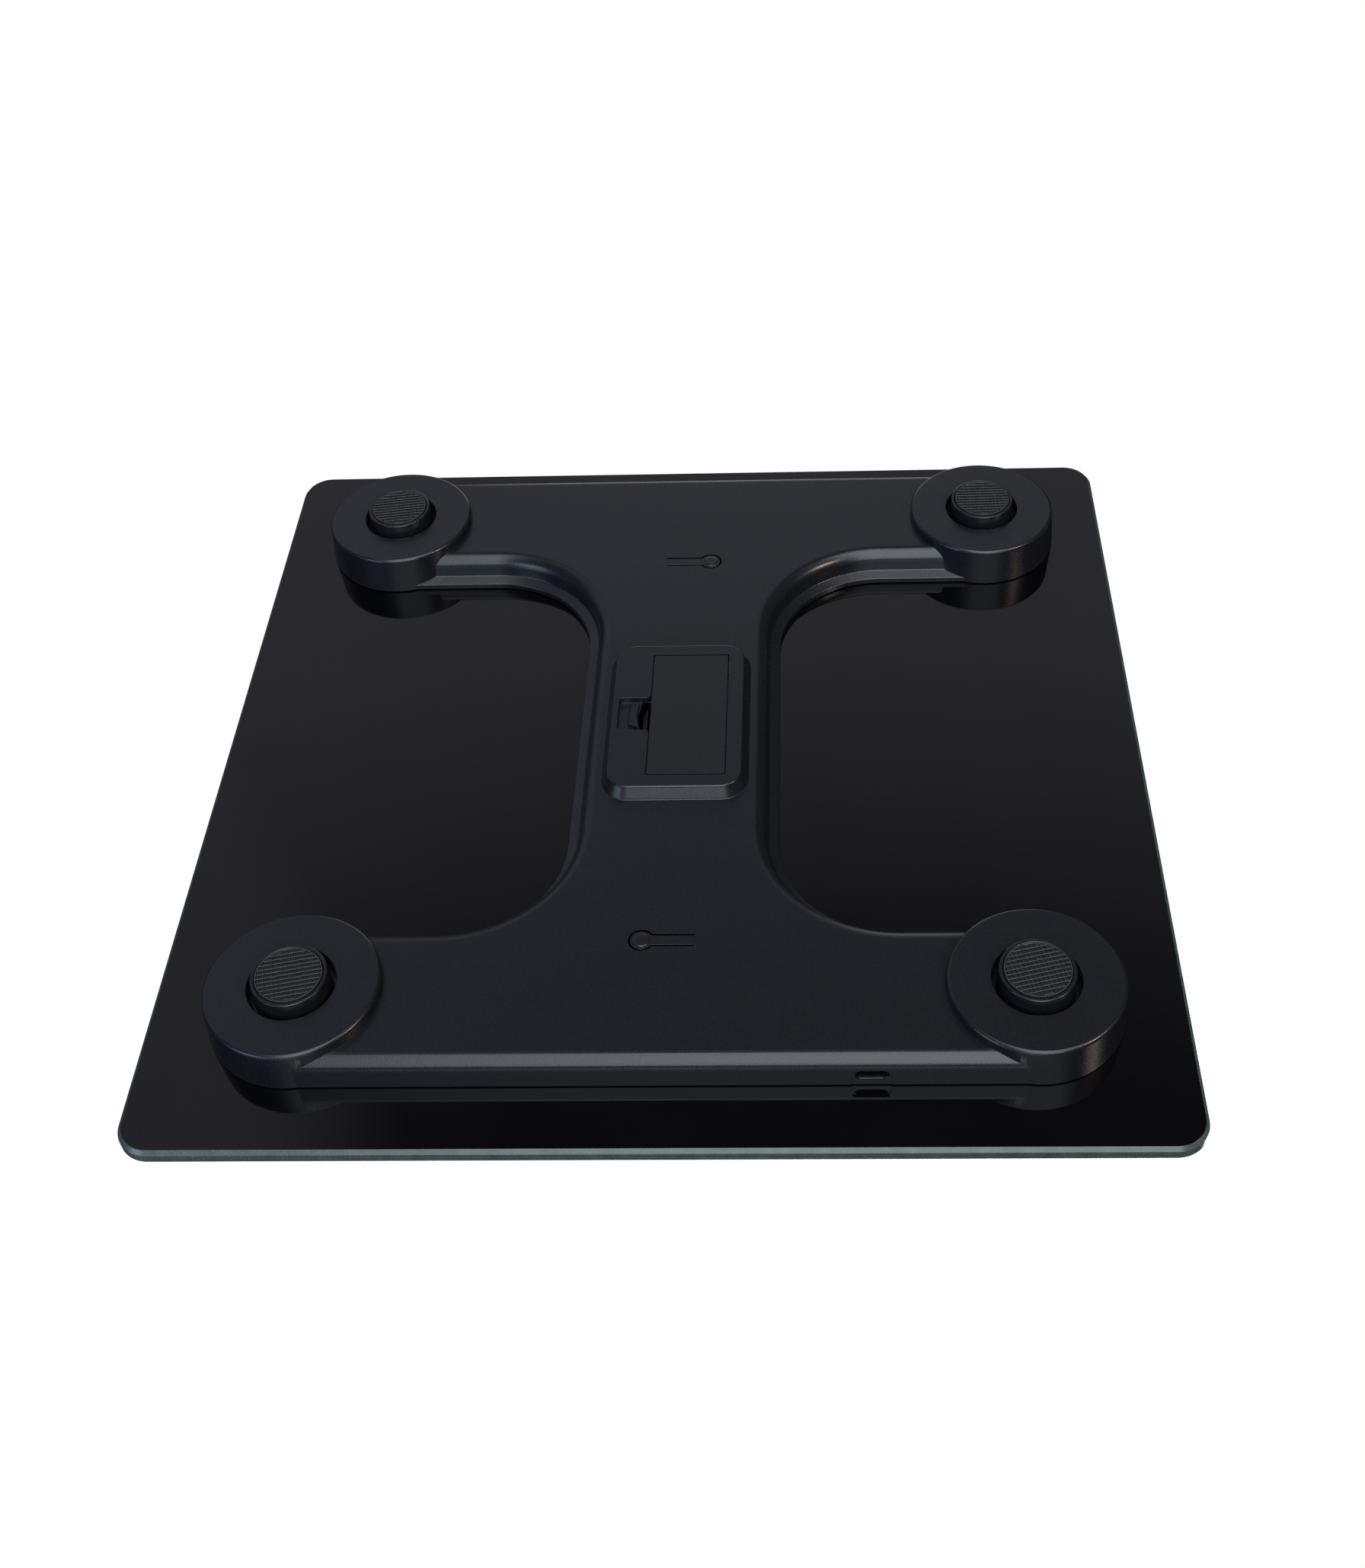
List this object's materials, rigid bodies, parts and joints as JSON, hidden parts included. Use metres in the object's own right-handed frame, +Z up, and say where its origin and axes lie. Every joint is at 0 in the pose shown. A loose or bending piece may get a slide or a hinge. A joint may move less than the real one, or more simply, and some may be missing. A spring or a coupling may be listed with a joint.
{
  "type": "digital bathroom scale",
  "caption": "Square glass bathroom scale on an H-shaped black plastic frame with round foot pods, ribbed rubber feet, a battery bay with a door, flex keys and a charging socket.",
  "frame": {"origin": "centre of the glass's footprint, on the floor under the feet", "axes": "+Z up from the floor through the glass, +Y towards the edge with the charging socket and the display"},
  "size_m": [0.29, 0.29, 0.023],
  "materials": {
    "glass": "clear float glass, ground edge, pale grey-green edge",
    "black_enamel": "glossy black fired print",
    "gasket": "matt black foam tape",
    "shell_plastic": "fine satin-grained black moulding",
    "door_plastic": "fine satin-grained black moulding",
    "foot_plastic": "satin black moulding",
    "foot_rubber": "grey-black ribbed rubber",
    "tray_plastic": "natural white moulding",
    "cell_steel": "stamped alloy steel",
    "spring_steel": "nickel-plated spring steel",
    "cell_jacket": "printed metal jacket, two plain bands",
    "board": "green solder mask",
    "component": "black moulded package",
    "small_parts": "small board parts",
    "screw_steel": "zinc-plated steel",
    "display_plastic": "black display housing",
    "display_smoke": "smoked filter",
    "lead_pvc": "flat three-core ribbon",
    "switch_metal": "pressed switch cover"
  },
  "bodies": {
    "platform": {"glass_platform": "glass", "enamel_backing": "black_enamel", "adhesive_gasket": "gasket", "base_shell": "shell_plastic", "load_cell_tray_fl": "tray_plastic", "load_cell_tray_fr": "tray_plastic", "load_cell_tray_bl": "tray_plastic", "load_cell_tray_br": "tray_plastic", "load_cell_frame_fl": "cell_steel", "load_cell_frame_fr": "cell_steel", "load_cell_frame_bl": "cell_steel", "load_cell_frame_br": "cell_steel", "battery_left": "cell_jacket", "battery_right": "cell_jacket", "battery_springs": "spring_steel", "battery_contacts": "spring_steel", "unit_switch": "switch_metal", "zero_switch": "switch_metal", "main_board": "board", "zero_board": "board", "controller_chip": "component", "board_parts": "small_parts", "board_screws": "screw_steel", "display_module": "display_plastic", "display_filter": "display_smoke", "usb_socket": "spring_steel", "cell_lead_fl": "lead_pvc", "cell_lead_fr": "lead_pvc", "cell_lead_bl": "lead_pvc", "cell_lead_br": "lead_pvc", "battery_lead": "lead_pvc", "zero_lead": "lead_pvc"},
    "foot_front_left": {"load_cell_tongue_fl": "cell_steel", "foot_carrier_fl": "foot_plastic", "foot_pad_fl": "foot_rubber"},
    "foot_front_right": {"load_cell_tongue_fr": "cell_steel", "foot_carrier_fr": "foot_plastic", "foot_pad_fr": "foot_rubber"},
    "foot_back_left": {"load_cell_tongue_bl": "cell_steel", "foot_carrier_bl": "foot_plastic", "foot_pad_bl": "foot_rubber"},
    "foot_back_right": {"load_cell_tongue_br": "cell_steel", "foot_carrier_br": "foot_plastic", "foot_pad_br": "foot_rubber"},
    "door": {"battery_door": "door_plastic"},
    "unit_button": {"unit_key": "shell_plastic"},
    "unit_actuator": {"unit_plunger": "component"},
    "zero_button": {"zero_key": "shell_plastic"},
    "zero_actuator": {"zero_plunger": "component"}
  },
  "joints": [
    {"name": "foot_front_left_press", "type": "slide", "parent": "platform", "child": "foot_front_left", "axis": [0, 0, 1], "range_m": [0, 0.0005], "stiffness_N_per_m": 30000},
    {"name": "foot_front_right_press", "type": "slide", "parent": "platform", "child": "foot_front_right", "axis": [0, 0, 1], "range_m": [0, 0.0005], "stiffness_N_per_m": 30000},
    {"name": "foot_back_left_press", "type": "slide", "parent": "platform", "child": "foot_back_left", "axis": [0, 0, 1], "range_m": [0, 0.0005], "stiffness_N_per_m": 30000},
    {"name": "foot_back_right_press", "type": "slide", "parent": "platform", "child": "foot_back_right", "axis": [0, 0, 1], "range_m": [0, 0.0005], "stiffness_N_per_m": 30000},
    {"name": "door_hinge", "type": "hinge", "parent": "platform", "child": "door", "pos_m": [0.01535, -0.003, 0.0034], "axis": [0, -1, 0], "range_deg": [0, 80]},
    {"name": "unit_key_press", "type": "hinge", "parent": "platform", "child": "unit_button", "pos_m": [0.0083, 0.0834, 0.008], "axis": [0, 1, 0], "range_deg": [0, 1.51], "stiffness_Nm_per_rad": 0.85},
    {"name": "unit_plunger_press", "type": "slide", "parent": "platform", "child": "unit_actuator", "axis": [0, 0, 1], "range_m": [0, 0.0004]},
    {"name": "zero_key_press", "type": "hinge", "parent": "platform", "child": "zero_button", "pos_m": [-0.0071, -0.0808, 0.008], "axis": [0, -1, 0], "range_deg": [0, 1.51], "stiffness_Nm_per_rad": 0.85},
    {"name": "zero_plunger_press", "type": "slide", "parent": "platform", "child": "zero_actuator", "axis": [0, 0, 1], "range_m": [0, 0.0004]}
  ],
  "couplings": [
    {"joint": "unit_plunger_press", "follows": "unit_key_press", "m_per_rad": 0.0151},
    {"joint": "zero_plunger_press", "follows": "zero_key_press", "m_per_rad": 0.0151}
  ]
}
